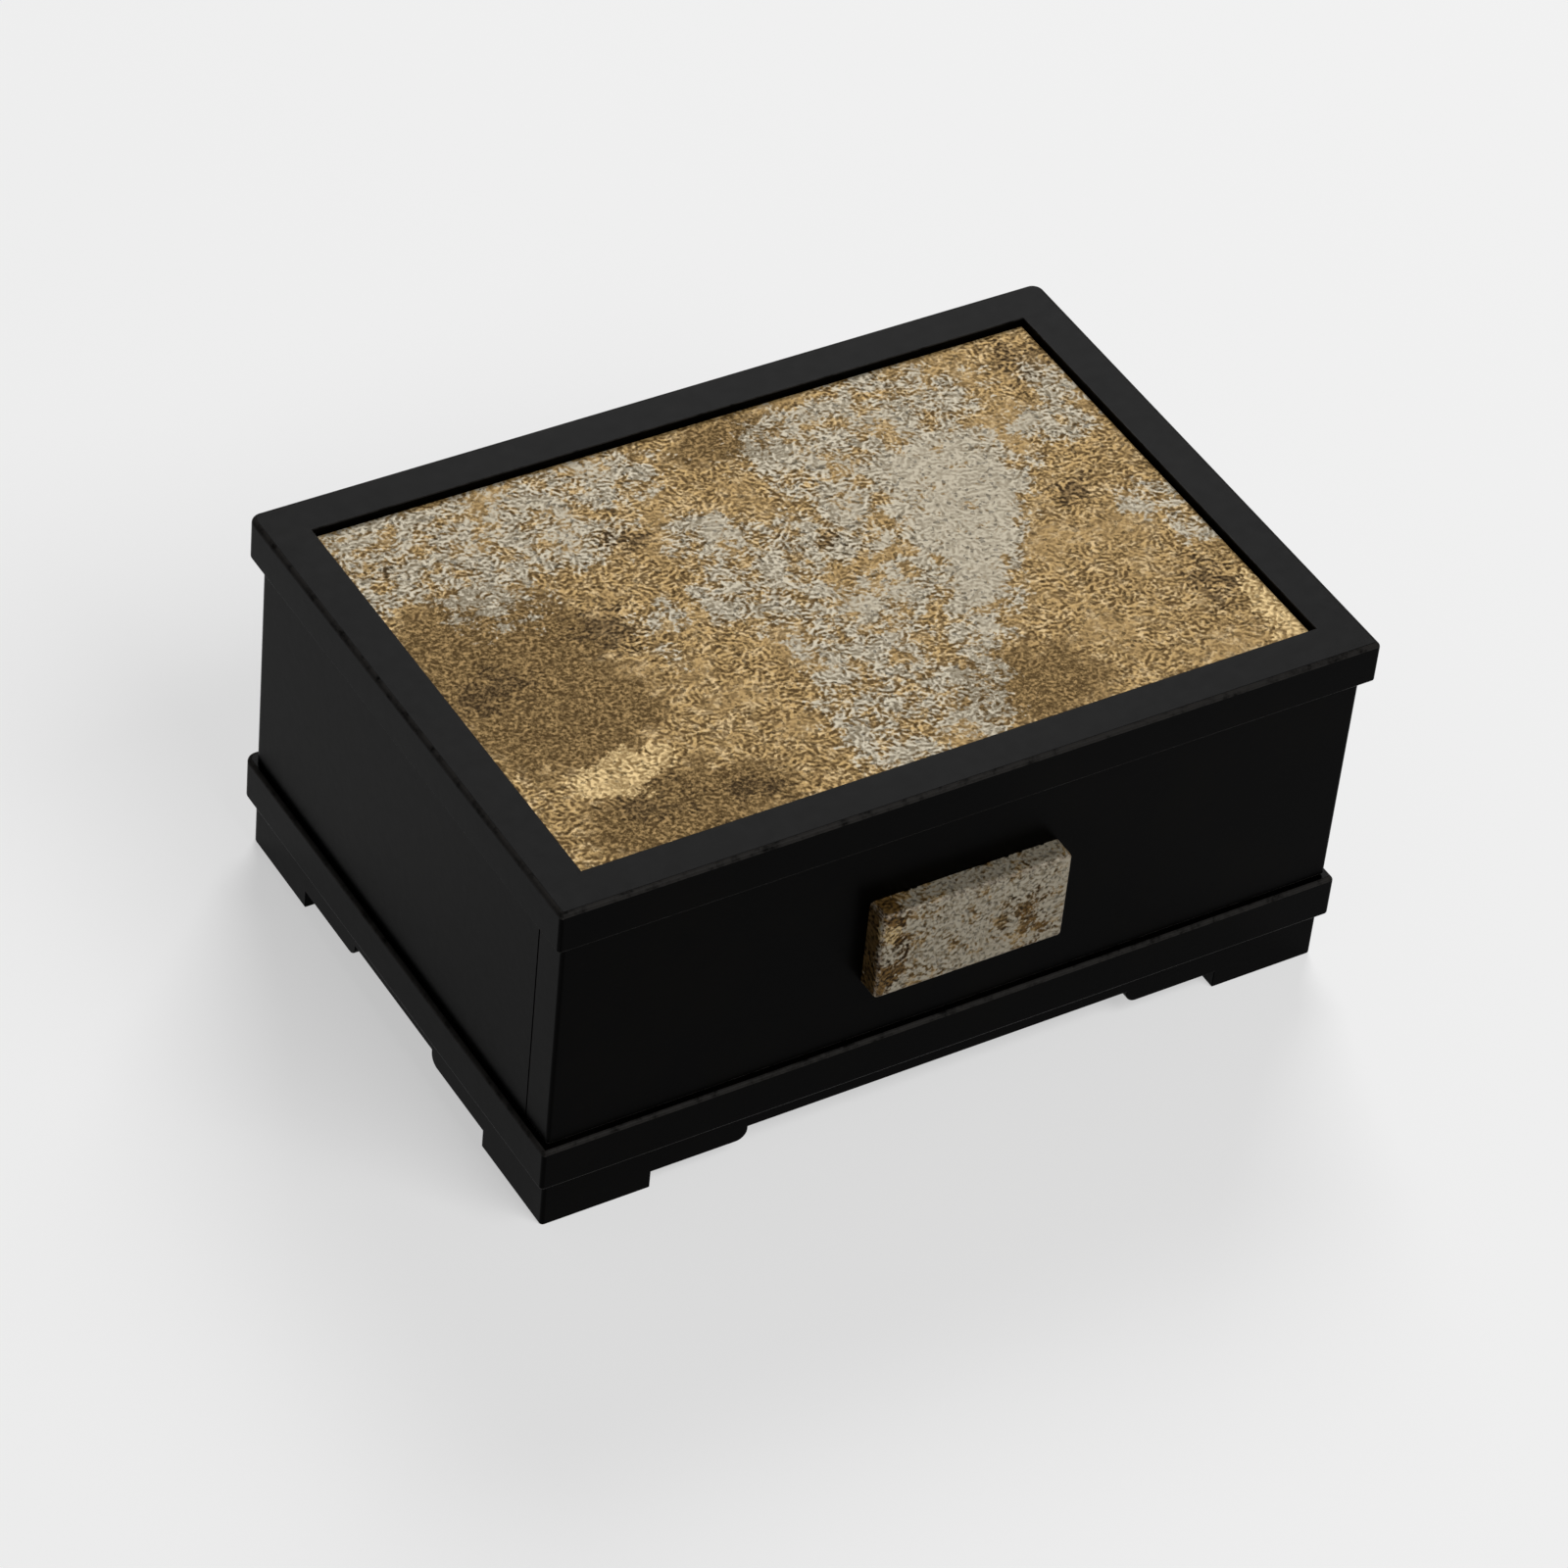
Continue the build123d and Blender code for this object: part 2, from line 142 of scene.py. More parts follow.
UMBER_PLACES = (
    (-41, 5, 8, 9), (-26, 27, 7, 5), (11, 8, 4, 4), (-58, -40, 9, 6), (-40, -45, 9, 6),
    (70, -30, 6, 7), (-71, 36, 4, 3), (60, 4, 5, 4), (72, 42, 6, 7), (-70, -2, 9, 7),
)

# The great silver wedge: a point on each of its sides, the way in from there and how softly it ends
SILVER_WEDGE = (
    ((58.6, 15.0), (-0.793, 0.609), 5.0),
    ((58.6, 15.0), (-0.949, -0.314), 14.0),
    ((22.0, 10.0), (0.985, -0.174), 12.0),
    ((40.0, 34.0), (0.0, -1.0), 14.0),
)

# The same on the pull, from the middle of its face: the sheet goes on over its sides
PULL_SILVER_PLACES = ((-2, 0, 15, 30), (6, 10, 22, 12), (20, -4, 5, 20))
PULL_PALE_PLACES = ((-19, 7, 2.5, 3),)
PULL_BROWN_PLACES = ((-21, 0, 7, 60), (14, -4, 3, 14))
PULL_UMBER_PLACES = ((-28, 0, 11, 60), (-18, -12, 3, 4), (9, 1, 4, 6), (14, 8, 3, 4))


class Socket:
    """A node's output that stands in arithmetic: every operator adds a Math node to its graph."""

    def __init__(self, graph, output):
        self.graph = graph
        self.output = output

    def math(self, operation, *values):
        return self.graph.node("ShaderNodeMath", {"operation": operation}, dict(enumerate(values)))

    def __add__(self, other):
        return self.math("ADD", self, other)

    def __radd__(self, other):
        return self.math("ADD", other, self)

    def __sub__(self, other):
        return self.math("SUBTRACT", self, other)

    def __rsub__(self, other):
        return self.math("SUBTRACT", other, self)

    def __mul__(self, other):
        return self.math("MULTIPLY", self, other)

    def __rmul__(self, other):
        return self.math("MULTIPLY", other, self)

    def __truediv__(self, other):
        return self.math("DIVIDE", self, other)

    def __pow__(self, other):
        return self.math("POWER", self, other)

    def __abs__(self):
        return self.math("ABSOLUTE", self)

    def lowest(self, other):
        return self.math("MINIMUM", self, other)

    def highest(self, other):
        return self.math("MAXIMUM", self, other)

    def above(self, other):
        return self.math("GREATER_THAN", self, other)

    def step(self, low, high):
        """Nothing below low, all above high, with a smooth rise between."""
        settings = {"interpolation_type": "SMOOTHSTEP"}
        inputs = {"Value": self, "From Min": low, "From Max": high}
        return self.graph.node("ShaderNodeMapRange", settings, inputs)


class Graph:
    """A node tree under construction."""

    def __init__(self, tree):
        self.tree = tree

    def node(self, kind, settings, inputs, output=0):
        """Adds a node, sets its settings, then its sockets' values or links, and returns one output."""
        node = self.tree.nodes.new(kind)
        for name, value in settings.items():
            setattr(node, name, value)
        for key, value in inputs.items():
            socket = self.find(node.inputs, key)
            for one in value if isinstance(value, list) else [value]:
                if isinstance(one, Socket):
                    self.tree.links.new(one.output, socket)
                else:
                    socket.default_value = one
        return Socket(self, self.find(node.outputs, output))

    @staticmethod
    def find(sockets, key):
        """A socket by its place in the list, or by its identifier."""
        if isinstance(key, int):
            return sockets[key]
        return next(socket for socket in sockets if socket.identifier == key)

    def mix(self, factor, a, b):
        """One colour into another."""
        inputs = {"Factor_Float": factor, "A_Color": opaque(a), "B_Color": opaque(b)}
        return self.node("ShaderNodeMix", {"data_type": "RGBA"}, inputs, "Result_Color")

    def vector(self, operation, a, b, output="Vector"):
        """Vector Math on two vectors: the result is a vector, or a number under "Value"."""
        inputs = {"Vector": a, "Vector_001": b}
        return self.node("ShaderNodeVectorMath", {"operation": operation}, inputs, output)

    def scale(self, vector, factor):
        """A vector made longer, or a colour made lighter, by a number."""
        inputs = {"Vector": vector, "Scale": factor}
        return self.node("ShaderNodeVectorMath", {"operation": "SCALE"}, inputs)

    def axis(self, vector, name):
        return self.node("ShaderNodeSeparateXYZ", {}, {"Vector": vector}, name)

    def join(self, x, y, z):
        return self.node("ShaderNodeCombineXYZ", {}, {"X": x, "Y": y, "Z": z})

    def noise(self, place, scale, detail=2.0, roughness=0.5, distortion=0.0, output="Fac"):
        """Noise, read away from its own origin, where its octaves meet."""
        place = self.vector("ADD", place, (31.7, 47.3, 19.1))
        inputs = {"Vector": place, "Scale": scale, "Detail": detail, "Roughness": roughness}
        inputs["Distortion"] = distortion
        return self.node("ShaderNodeTexNoise", {}, inputs, output)


def opaque(value):
    """A socket as it is, or a colour with its alpha."""
    return value if isinstance(value, Socket) else (*value, 1.0)


class Finish(Graph):
    """A material of nodes round one surface shader."""

    def __init__(self, name, **constants):
        self.material = bpy.data.materials.new(name)
        self.material.use_nodes = True
        super().__init__(self.material.node_tree)
        self.surface = self.tree.nodes["Principled BSDF"]
        for key, value in constants.items():
            self.surface.inputs[key.replace("_", " ")].default_value = value

    def place(self):
        """Object coordinates, in millimetres."""
        return self.scale(self.node("ShaderNodeTexCoord", {}, {}, "Object"), 1.0 / MM)

    def attribute(self, name, output):
        return self.node("ShaderNodeAttribute", {"attribute_name": name}, {}, output)

    def paint(self, socket, value):
        self.tree.links.new(value.output, self.surface.inputs[socket])

    def bump(self, height, depth):
        """Relief of the given depth in millimetres."""
        inputs = {"Height": height, "Distance": depth * MM, "Strength": 1.0}
        relief = self.node("ShaderNodeBump", {}, inputs)
        self.paint("Normal", relief)


class Shape(Graph):
    """A Geometry Nodes tree: named sizes and a finish in, one mesh out."""

    def __init__(self, name, **sizes):
        super().__init__(bpy.data.node_groups.new(name, "GeometryNodeTree"))
        interface = self.tree.interface
        interface.new_socket("Geometry", in_out="OUTPUT", socket_type="NodeSocketGeometry")
        self.keys = {}
        for key, value in sizes.items():
            socket = interface.new_socket(key, in_out="INPUT", socket_type="NodeSocketFloat")
            socket.default_value = value
            self.keys[key] = socket.identifier
        socket = interface.new_socket("Finish", in_out="INPUT", socket_type="NodeSocketMaterial")
        self.keys["Finish"] = socket.identifier
        self.entry = self.tree.nodes.new("NodeGroupInput")

    def __getitem__(self, key):
        return Socket(self, self.find(self.entry.outputs, self.keys[key]))

    def position(self):
        return self.node("GeometryNodeInputPosition", {}, {})

    def move(self, geometry, selection, **change):
        """Sets the selected points' position, or adds an offset to it."""
        inputs = {"Geometry": geometry, "Selection": selection}
        inputs.update({key.capitalize(): value for key, value in change.items()})
        return self.node("GeometryNodeSetPosition", {}, inputs)

    def remember(self, geometry, name, kind, value):
        """Keeps a value on every point for the finish to read."""
        settings = {"data_type": kind, "domain": "POINT"}
        inputs = {"Geometry": geometry, "Name": name, "Value": value}
        return self.node("GeometryNodeStoreNamedAttribute", settings, inputs)

    def close(self, geometry):
        real = self.node("GeometryNodeRealizeInstances", {}, {"Geometry": geometry})
        dressed = self.node("GeometryNodeSetMaterial", {}, {"Geometry": real, "Material": self["Finish"]})
        end = self.tree.nodes.new("NodeGroupOutput")
        self.tree.links.new(dressed.output, end.inputs[0])

    def grow(self, name, finish, **sizes):
        """Runs the tree once and returns its result as a plain object."""
        piece = bpy.data.objects.new(name, bpy.data.meshes.new(name))
        bpy.context.scene.collection.objects.link(piece)
        tree = piece.modifiers.new("tree", "NODES")
        tree.node_group = self.tree
        tree[self.keys["Finish"]] = finish
        for key, value in sizes.items():
            tree[self.keys[key]] = value
        bake(piece)
        return piece


# Finishes

def black_lacquer(settings):
    """Satin black lacquer with a faint ripple, over boards whose grain hardly shows, its level edges
    painted lighter: partly wear, partly a painted highlight.
    """
    finish = Finish("black_lacquer", IOR=settings.gloss)
    place = finish.place()
    cloud = finish.noise(place, 0.045, 3.0, 0.6)
    rubbed = finish.attribute("rubbed", "Fac")
    black = finish.mix(cloud.step(0.35, 0.75), settings.black, WARM_BLACK)
    # The level edges' lighter colour, broken up by noise, is partly wear and partly a painted highlight
    # along the arrises
    wear_and_highlight_breakup = finish.noise(place, 0.4, 4.0, 0.7).step(0.22, 0.56)
    finish.paint("Base Color", finish.mix(rubbed * wear_and_highlight_breakup, black, settings.rubbed))
    grain = finish.noise(finish.vector("MULTIPLY", place, (0.12, 1.6, 1.6)), 1.0, 3.0, 0.6)
    haze = finish.noise(place, 0.35, 4.0, 0.65)
    blur = settings.roughness + 0.10 * (haze - 0.5) + 0.03 * (grain - 0.5)
    finish.paint("Roughness", blur - 0.06 * rubbed)
    ripple = finish.noise(place, 0.55, 1.0, 0.4)
    speck = finish.noise(place, 6.0, 2.0, 0.6)
    finish.bump(ripple * 0.8 + grain * 0.15 + speck * 0.05, settings.ripple / MM)
    return finish.material


def strokes(graph, flat):
    """Short winding strokes, pressed in about every 1.2 mm: 0 in the gaps, 1 on the ridges."""
    turn = graph.noise(flat, 0.22, 2.0, 0.5) * 9.0
    settings = {"gabor_type": "2D"}
    inputs = {"Vector": flat, "Scale": 0.60, "Frequency": 1.25, "Anisotropy": 0.5, "Orientation 2D": turn}
    broad = graph.node("ShaderNodeTexGabor", settings, inputs, "Value")
    inputs.update({"Scale": 0.95, "Frequency": 1.2, "Anisotropy": 0.3, "Orientation 2D": turn + 0.9})
    narrow = graph.node("ShaderNodeTexGabor", settings, inputs, "Value")
    rough = graph.noise(flat, 0.65, 3.0, 0.6)
    return 0.68 * broad + 0.16 * narrow + 0.48 * rough - 0.16


def ovals(finish, place, places):
    """The strongest of several soft ovals: 1 at a middle, 0 on its rim and less outside."""
    strongest = None
    for x, y, half_width, half_depth in places:
        offset = finish.vector("SUBTRACT", place, (x, y, 0.0))
        offset = finish.vector("MULTIPLY", offset, (1.0 / half_width, 1.0 / half_depth, 0.0))
        oval = 1.0 - finish.vector("LENGTH", offset, (0.0, 0.0, 0.0), "Value")
        strongest = oval if strongest is None else strongest.highest(oval)
    return strongest


def wedge(finish, place, sides):
    """Inside several straight sides: 0 on the nearest one, and 1 as far in as it is soft."""
    nearest = None
    for (x, y), (across, along), softness in sides:
        offset = finish.vector("SUBTRACT", place, (x, y, 0.0))
        inside = finish.vector("DOT_PRODUCT", offset, (across, along, 0.0), "Value") / softness
        nearest = inside if nearest is None else nearest.lowest(inside)
    return nearest.lowest(1.0)


def foil_leather(name, settings, places, sides=(), worn=False):
    """Embossed leather under patches of silver, gold and brown foil that fray into each other.

    The four lists of places are for the silver, pale, brown and umber foils.
    """
    silver_places, pale_places, brown_places, umber_places = places
    finish = Finish(name, Specular_IOR_Level=settings.shine)
    flat = finish.attribute("sheet", "Vector")
    ridge = strokes(finish, flat)
    wander = finish.vector("SUBTRACT", finish.noise(flat, 0.16, 3.0, 0.6, 0.0, "Color"), (0.5, 0.5, 0.5))
    place = finish.vector("ADD", flat, finish.scale(wander, 14.0))
    mottle = finish.noise(flat, 0.20, 6.0, 0.75) - 0.5
    grit = finish.noise(flat, 1.1, 3.0, 0.6) - 0.5
    fray = 3.8 * mottle + 0.7 * grit + 1.4 * (ridge - 0.5)
    silver = ovals(finish, place, silver_places).lowest(0.45 if worn else 0.22)
    smooth = finish.noise(flat, 0.09, 3.0, 0.6).step(0.48, 0.66) * 0.55
    if sides:
        inside = wedge(finish, place, sides)
        silver = silver.highest(inside.lowest(0.60))
        smooth = smooth.highest(inside.step(0.1, 0.8) * 0.5)
    silver = (silver + fray).step(-0.05, 0.35)
    brown = (ovals(finish, place, brown_places) * 2.0 + fray * 0.5).step(-0.1, 0.4)
    pale = (ovals(finish, place, pale_places) * 1.6 + fray * 0.8).step(0.1, 0.4)
    umber = (ovals(finish, place, umber_places) * 1.3 - fray * 1.3).step(0.1, 0.8)
    tone = (ridge + grit * 0.35).step(0.34, 0.62)
    tone = tone + smooth * (0.74 - tone)
    calm = brown * (0.0 if worn else 0.85)
    even = finish.noise(flat, 1.5, 3.0, 0.65) * 0.7 + ridge * 0.3
    tone = tone + calm * (even.step(0.41, 0.59) - tone)
    layer = finish.mix(tone, GOLD_FOIL[0], settings.gold)
    streak = finish.noise(flat, 0.38, 5.0, 0.75)
    layer = finish.mix(streak.step(0.49, 0.60) * 0.9, layer, finish.mix(tone, TAN_FOIL[0], settings.tan))
    dull = finish.mix(tone, BROWN_FOIL[0], settings.brown)
    layer = finish.mix(streak.step(0.46, 0.36) * 0.7, layer, dull)
    layer = finish.mix(brown, layer, finish.mix(tone, *AMBER_FOIL) if worn else dull)
    layer = finish.mix(pale, layer, finish.mix(tone, *PALE_FOIL))
    layer = finish.mix(umber * 0.85, layer, finish.mix(tone, *UMBER_FOIL))
    layer = finish.mix(silver, layer, finish.mix(tone, SILVER_FOIL[0], settings.silver))
    pits = finish.noise(flat, 0.85, 2.0, 0.55).step(0.42, 0.32) * (1.0 - calm)
    if worn:
        edge = finish.attribute("rubbed", "Fac") * finish.noise(flat, 0.9, 3.0, 0.7).step(0.40, 0.60)
        layer = finish.mix(edge * 0.8, layer, settings.skin_colour)
        pits = pits.highest(finish.noise(flat, 1.1, 3.0, 0.6).step(0.46, 0.38))
    shade = 0.62 if worn else 0.755
    finish.paint("Base Color", finish.scale(layer, shade - 0.50 * shade * pits))
    finish.paint("Metallic", 0.10 + 0.20 * tone)
    finish.paint("Roughness", 0.58 - 0.12 * tone + 0.06 * grit)
    finish.bump(tone * 0.55 + ridge * 0.55 - pits * 0.4, settings.grain / MM)
    return finish.material


def bare_wood(name, settings, along):
    """Pale planed boards, their grain along X or along Y."""
    finish = Finish(name, Specular_IOR_Level=0.3)
    place = finish.place()
    if along == "Y":
        place = finish.join(finish.axis(place, "Y"), finish.axis(place, "X"), finish.axis(place, "Z"))
    place = finish.vector("ADD", place, (0.0, 33.0, -88.0))
    drift = finish.noise(finish.vector("MULTIPLY", place, (0.008, 0.03, 0.03)), 1.0, 2.0, 0.5, 0.0, "Color")
    rings = finish.vector("MULTIPLY", place, (0.02, 1.0, 1.0))
    rings = finish.vector("ADD", rings, finish.scale(drift, 9.0))
    inputs = {"Vector": rings, "Scale": 0.085, "Distortion": 0.5, "Detail": 2.0, "Detail Scale": 0.7}
    ring = finish.node("ShaderNodeTexWave", {"wave_type": "RINGS", "rings_direction": "X"}, inputs, "Fac")
    streak = finish.noise(finish.vector("MULTIPLY", place, (0.015, 0.45, 0.45)), 1.0, 4.0, 0.6)
    fibre = finish.noise(finish.vector("MULTIPLY", place, (0.12, 2.8, 2.8)), 1.0, 3.0, 0.6)
    tone = ring * 0.22 + streak * 0.48 + fibre * 0.30
    finish.paint("Base Color", finish.mix(tone.step(0.28, 0.72), settings.pale_wood, settings.dark_wood))
    finish.paint("Roughness", 0.52 + 0.15 * fibre)
    finish.bump(fibre, 0.05)
    return finish.material


def pile(name, base, depth):
    """Velvet or felt: short pile that is lighter where it leans."""
    finish = Finish(name, Roughness=0.9, Sheen_Weight=0.6, Sheen_Roughness=0.4, Specular_IOR_Level=0.2)
    place = finish.place()
    brushed = finish.noise(place, 0.12, 3.0, 0.6)
    tuft = finish.noise(place, 4.5, 3.0, 0.7)
    finish.paint("Base Color", finish.scale(base, 0.6 + 0.5 * brushed + 0.5 * tuft))
    finish.bump(tuft, depth)
    return finish.material


def plated_steel(settings):
    """Zinc-plated steel, a little streaked."""
    finish = Finish("screw_steel", Metallic=1.0)
    place = finish.place()
    streak = finish.noise(finish.vector("MULTIPLY", place, (1.0, 6.0, 1.0)), 1.0, 3.0, 0.6)
    finish.paint("Base Color", finish.scale(settings.zinc, 0.8 + 0.3 * streak))
    finish.paint("Roughness", 0.28 + 0.2 * streak)
    return finish.material


# Boards

def joined_copy(node):
    """A CAD node's mesh with its loose triangles joined and its flat faces made whole."""
    mesh = bmesh.new()
    mesh.from_mesh(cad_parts[node].data)
    bmesh.ops.remove_doubles(mesh, verts=mesh.verts, dist=WELD)
    bmesh.ops.dissolve_limit(mesh, angle_limit=math.radians(1.0), verts=mesh.verts, edges=mesh.edges)
    return mesh


def is_mitre(face):
    """Whether a face is the sawn end of a mitred board."""
    normal = face.normal
    diagonal = abs(abs(normal.x) - abs(normal.y)) < 0.01 and abs(normal.z) < 0.01
    return diagonal and face.calc_area() > SMALLEST_MITRE


def is_sharp(edge, angle=EASED_ANGLE):
    """Whether an edge has two faces that meet at more than an angle, in degrees."""
    return len(edge.link_faces) == 2 and edge.calc_face_angle() > math.radians(angle)


def round_edges(mesh, edges, width, segments):
    """Bevels edges to a round profile."""
    bmesh.ops.bevel(
        mesh, geom=edges, offset=width, segments=segments, profile=0.5, affect="EDGES", clamp_overlap=True)


def ease(mesh, width, segments, seam=None):
    """Rounds a board's sharp edges and marks the level ones for a lighter colour, partly wear and partly a
    painted highlight.

    Mitres stay sharp, and edges at a seam nearly so.
    """
    def at_seam(edge):
        return seam is not None and all(abs(vert.co.y - seam) < 0.01 * MM for vert in edge.verts)

    def at_mitre(edge):
        return any(is_mitre(face) for face in edge.link_faces)

    edges = [edge for edge in mesh.edges if is_sharp(edge) and not at_mitre(edge)]
    round_edges(mesh, [edge for edge in edges if not at_seam(edge)], width, segments)
    if seam is not None:
        edges = [edge for edge in mesh.edges if is_sharp(edge) and at_seam(edge)]
        round_edges(mesh, edges, width * SEAM_EASING, 1)
    # Level eased faces are marked for the lacquer's lighter edge colour: partly wear, partly a painted
    # highlight
    rubbed = mesh.loops.layers.float.new("rubbed")
    for face in mesh.faces:
        turned = max(abs(part) for part in face.normal) < TURNED and abs(face.normal.z) > UPRIGHT
        for loop in face.loops:
            loop[rubbed] = 1.0 if turned else 0.0


def board_piece(name, mesh, finish):
    """A smooth object from a board's mesh, with its flat faces kept flat."""
    for edge in mesh.edges:
        edge.smooth = len(edge.link_faces) == 2 and not is_sharp(edge, CREASE_ANGLE)
    for face in mesh.faces:
        face.smooth = True
    data = bpy.data.meshes.new(name)
    mesh.to_mesh(data)
    mesh.free()
    data.materials.append(finish)
    piece = bpy.data.objects.new(name, data)
    bpy.context.scene.collection.objects.link(piece)
    weighted = piece.modifiers.new("weighted", "WEIGHTED_NORMAL")
    weighted.keep_sharp = True
    weighted.weight = 100
    bake(piece)
    return piece


def bake(piece):
    """Makes a piece's modifiers part of its mesh."""
    graph = bpy.context.evaluated_depsgraph_get()
    piece.data = bpy.data.meshes.new_from_object(piece.evaluated_get(graph))
    piece.modifiers.clear()


def face_outwards(piece):
    """Turns every face of a closed piece outwards."""
    mesh = bmesh.new()
    mesh.from_mesh(piece.data)
    bmesh.ops.recalc_face_normals(mesh, faces=mesh.faces)
    for face in mesh.faces:
        face.smooth = True
    for edge in mesh.edges:
        edge.smooth = not is_sharp(edge)
    mesh.to_mesh(piece.data)
    mesh.free()


def stand_for(piece, body, slot, *nodes):
    """Puts a piece on its body in place of CAD nodes; slot is not used."""
    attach(piece, body)
    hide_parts(*nodes)


def eased_boards(nodes, prefix, finish, body, slot, width, segments=2):
    """Makes an eased piece of each CAD node, and puts it in the node's place."""
    for node in nodes:
        mesh = joined_copy(node)
        ease(mesh, width, segments, SEAMS.get(node))
        stand_for(board_piece(prefix + node, mesh, finish), body, slot, node)


def dress(nodes, finish):
    """Gives CAD nodes that stay a better material."""
    for node in nodes:
        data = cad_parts[node].data
        data.materials.clear()
        data.materials.append(finish)


# Sheets, pull and screws

def covered_sheet():
    """Tree of a covered card: a fine grid on top, edges rolled down and a plain back."""
    shape = Shape(
        "covered sheet", Length=0.1, Width=0.1, Thickness=0.001, Spacing=0.0005, Relief=0.0001, Roll=0.0004)
    inputs = {"Size X": shape["Length"], "Size Y": shape["Width"]}
    inputs["Vertices X"] = shape["Length"] / shape["Spacing"] + 1.0
    inputs["Vertices Y"] = shape["Width"] / shape["Spacing"] + 1.0
    grid = shape.node("GeometryNodeMeshGrid", {}, inputs)
    flat = shape.scale(shape.position(), 1.0 / MM)
    grid = shape.remember(grid, "sheet", "FLOAT_VECTOR", flat)
    rim = shape.node("GeometryNodeInputMeshEdgeNeighbors", {}, {})
    settings = {"mode": "EDGES"}
    down = shape.join(0.0, 0.0, -1.0)
    inputs = {"Mesh": grid, "Selection": 2.0 - rim, "Offset": down, "Offset Scale": shape["Thickness"]}
    body = shape.node("GeometryNodeExtrudeMesh", settings, inputs)
    lower = shape.node("GeometryNodeExtrudeMesh", settings, inputs, "Top")
    place = shape.position()
    height = shape.axis(place, "Z")
    x_left = shape["Length"] * 0.5 - abs(shape.axis(place, "X"))
    y_left = shape["Width"] * 0.5 - abs(shape.axis(place, "Y"))
    inside = 1.0 - x_left.lowest(y_left) / shape["Roll"]
    inside = inside.highest(0.0)
    fall = shape["Roll"] * (1.0 - (1.0 - inside * inside) ** 0.5)
    relief = (strokes(shape, flat) - 1.0) * shape["Relief"]
    offset = shape.join(0.0, 0.0, relief - fall)
    body = shape.move(body, height.above(shape["Thickness"] * -0.5), offset=offset)
    loop = shape.node("GeometryNodeMeshToCurve", {}, {"Mesh": body, "Selection": lower})
    back = shape.node("GeometryNodeFillCurve", {"mode": "NGONS"}, {"Curve": loop})
    whole = shape.node("GeometryNodeJoinGeometry", {}, {"Geometry": [body, back]})
    whole = shape.node("GeometryNodeMergeByDistance", {}, {"Geometry": whole, "Distance": WELD})
    shape.close(whole)
    return shape


def folded_cover():
    """Tree of the pull's skin: a box with rounded arrises, embossed, and hollow for the wooden block."""
    shape = Shape(
        "folded cover", Width=0.04, Depth=0.005, Height=0.02, Spacing=0.0004, Radius=0.0006,
        Skin=0.0008, Relief=0.0001)
    size = shape.join(shape["Width"], shape["Depth"], shape["Height"])
    inputs = {"Size": size}
    inputs["Vertices X"] = shape["Width"] / shape["Spacing"]
    inputs["Vertices Y"] = shape["Depth"] / shape["Spacing"]
    inputs["Vertices Z"] = shape["Height"] / shape["Spacing"]
    blank = shape.node("GeometryNodeMeshCube", {}, inputs)
    place = shape.position()
    radius = shape["Radius"]
    rim = shape.join(radius, radius, radius)
    least = shape.vector("SUBTRACT", rim, shape.scale(size, 0.5))
    most = shape.vector("SUBTRACT", shape.scale(size, 0.5), shape.join(radius, 0.0, radius))
    core = shape.vector("MINIMUM", shape.vector("MAXIMUM", place, least), most)
    way = shape.vector("NORMALIZE", shape.vector("SUBTRACT", place, core), (0.0, 0.0, 0.0))
    behind = shape.axis(place, "Y") + shape["Depth"] * 0.5
    sheet = shape.vector("ADD", place, shape.scale(way, behind))
    sheet = shape.scale(shape.join(shape.axis(sheet, "X"), shape.axis(sheet, "Z"), 0.0), 1.0 / MM)
    blank = shape.remember(blank, "sheet", "FLOAT_VECTOR", sheet)
    largest = shape.vector("ABSOLUTE", way, (0.0, 0.0, 0.0))
    largest = shape.axis(largest, "X").highest(shape.axis(largest, "Y")).highest(shape.axis(largest, "Z"))
    turned = shape.vector("LENGTH", way, (0.0, 0.0, 0.0), "Value") - largest
    blank = shape.remember(blank, "rubbed", "FLOAT", (turned * 8.0).lowest(1.0))
    depth = radius + (strokes(shape, sheet) - 1.0) * shape["Relief"]
    round_place = shape.vector("ADD", core, shape.scale(way, depth))
    cover = shape.move(blank, True, position=round_place)
    cover = shape.node("GeometryNodeMergeByDistance", {}, {"Geometry": cover, "Distance": ROUND_WELD})
    hollow = shape.join(
        shape["Width"] - 2.0 * shape["Skin"], shape["Depth"], shape["Height"] - 2.0 * shape["Skin"])
    block = shape.node("GeometryNodeMeshCube", {}, {"Size": hollow})
    back = shape.join(0.0, shape["Skin"], 0.0)
    block = shape.node("GeometryNodeTransform", {}, {"Geometry": block, "Translation": back})
    inputs = {"Mesh 1": cover, "Mesh 2": block}
    cover = shape.node("GeometryNodeMeshBoolean", {"operation": "DIFFERENCE"}, inputs)
    shape.close(cover)
    return shape


